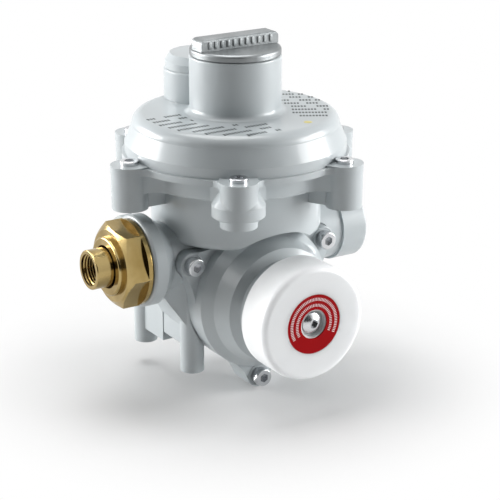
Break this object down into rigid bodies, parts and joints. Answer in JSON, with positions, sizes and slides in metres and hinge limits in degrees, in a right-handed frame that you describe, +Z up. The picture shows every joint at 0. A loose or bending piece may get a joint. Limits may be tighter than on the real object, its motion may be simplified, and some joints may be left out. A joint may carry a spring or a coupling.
{
  "type": "gas pressure regulator",
  "caption": "Low-pressure gas regulator with a domed diaphragm housing, brass inlet union, side outlet, safety reset knob and adjuster cap.",
  "frame": {"origin": "centre of the round pad under the body, on the axis of the main diaphragm, level with the four mounting feet", "axes": "+Z up along the main diaphragm's axis to the adjuster cap; -X out of the brass inlet; +X out of the threaded outlet; -Y out of the reset knob"},
  "size_m": [0.1452, 0.1264, 0.1699],
  "materials": {
    "paint": "gloss",
    "knob_plastic": "satin",
    "label_red": "satin",
    "brass": "satin",
    "rubber": "matte",
    "steel": "satin",
    "plug_cast": "satin"
  },
  "bodies": {
    "housing": {"lower_body": "paint", "upper_cover": "paint", "front_cover": "paint", "inlet_spud": "brass", "union_gasket": "rubber", "union_tail": "brass", "nozzle": "brass", "lever_pin": "steel", "vent_cap": "paint", "vent_screen": "steel", "spindle_bush": "brass", "slam_seat": "brass", "main_diaphragm": "rubber", "front_diaphragm": "rubber", "front_plate": "steel", "main_spring": "steel", "cover_screw_1": "steel", "cover_screw_2": "steel", "cover_screw_3": "steel", "cover_screw_4": "steel", "cover_screw_5": "steel", "cover_screw_6": "steel", "front_screw_1": "steel", "front_screw_2": "steel", "front_screw_3": "steel"},
    "diaphragm_group": {"plate_upper": "steel", "plate_lower": "steel", "stem": "brass", "stem_nut": "steel"},
    "lever_group": {"valve_lever": "steel", "valve_pad": "rubber"},
    "reset_group": {"reset_spindle": "steel", "slam_disc": "steel", "slam_pad": "rubber", "reset_knob": "knob_plastic", "knob_label": "label_red", "knob_screw": "steel"},
    "seal_group": {"plug_seal": "rubber"},
    "plug_group": {"top_plug": "plug_cast"},
    "seat_group": {"spring_seat": "steel"},
    "adjuster_group": {"adjuster": "brass"},
    "nut_group": {"union_nut": "brass"}
  },
  "joints": [
    {"name": "diaphragm_travel", "type": "slide", "parent": "housing", "child": "diaphragm_group", "axis": [0, 0, 1], "range_m": [0, 0.005], "stiffness_N_per_m": 500, "springref_m": -0.006, "deforming": ["main_spring", "main_diaphragm"]},
    {"name": "lever_tilt", "type": "hinge", "parent": "housing", "child": "lever_group", "pos_m": [0, 0.016, 0.088], "axis": [1, 0, 0], "range_deg": [-17.91, 0]},
    {"name": "spindle_pull", "type": "slide", "parent": "housing", "child": "reset_group", "axis": [0, 1, 0], "range_m": [-0.0015, 0.006]},
    {"name": "plug_lift", "type": "slide", "parent": "housing", "child": "seal_group", "axis": [0, 0, 1], "range_m": [0, 0.006]},
    {"name": "plug_turn", "type": "hinge", "parent": "seal_group", "child": "plug_group", "pos_m": [0, 0, 0.149], "axis": [0, 0, 1], "range_deg": [0, 1440]},
    {"name": "seat_drop", "type": "slide", "parent": "housing", "child": "seat_group", "axis": [0, 0, -1], "range_m": [0, 0.003], "deforming": ["main_spring"]},
    {"name": "adjuster_turn", "type": "hinge", "parent": "seat_group", "child": "adjuster_group", "pos_m": [0, 0, 0.138], "axis": [0, 0, -1], "range_deg": [0, 720]},
    {"name": "union_nut_spin", "type": "hinge", "parent": "housing", "child": "nut_group", "pos_m": [-0.062, 0, 0.0565], "axis": [-1, 0, 0], "continuous": true}
  ],
  "couplings": [
    {"joint": "lever_tilt", "follows": "diaphragm_travel", "rad_per_m": -62.5},
    {"joint": "plug_turn", "follows": "plug_lift", "rad_per_m": 4188.8},
    {"joint": "adjuster_turn", "follows": "seat_drop", "rad_per_m": 4188.8}
  ]
}
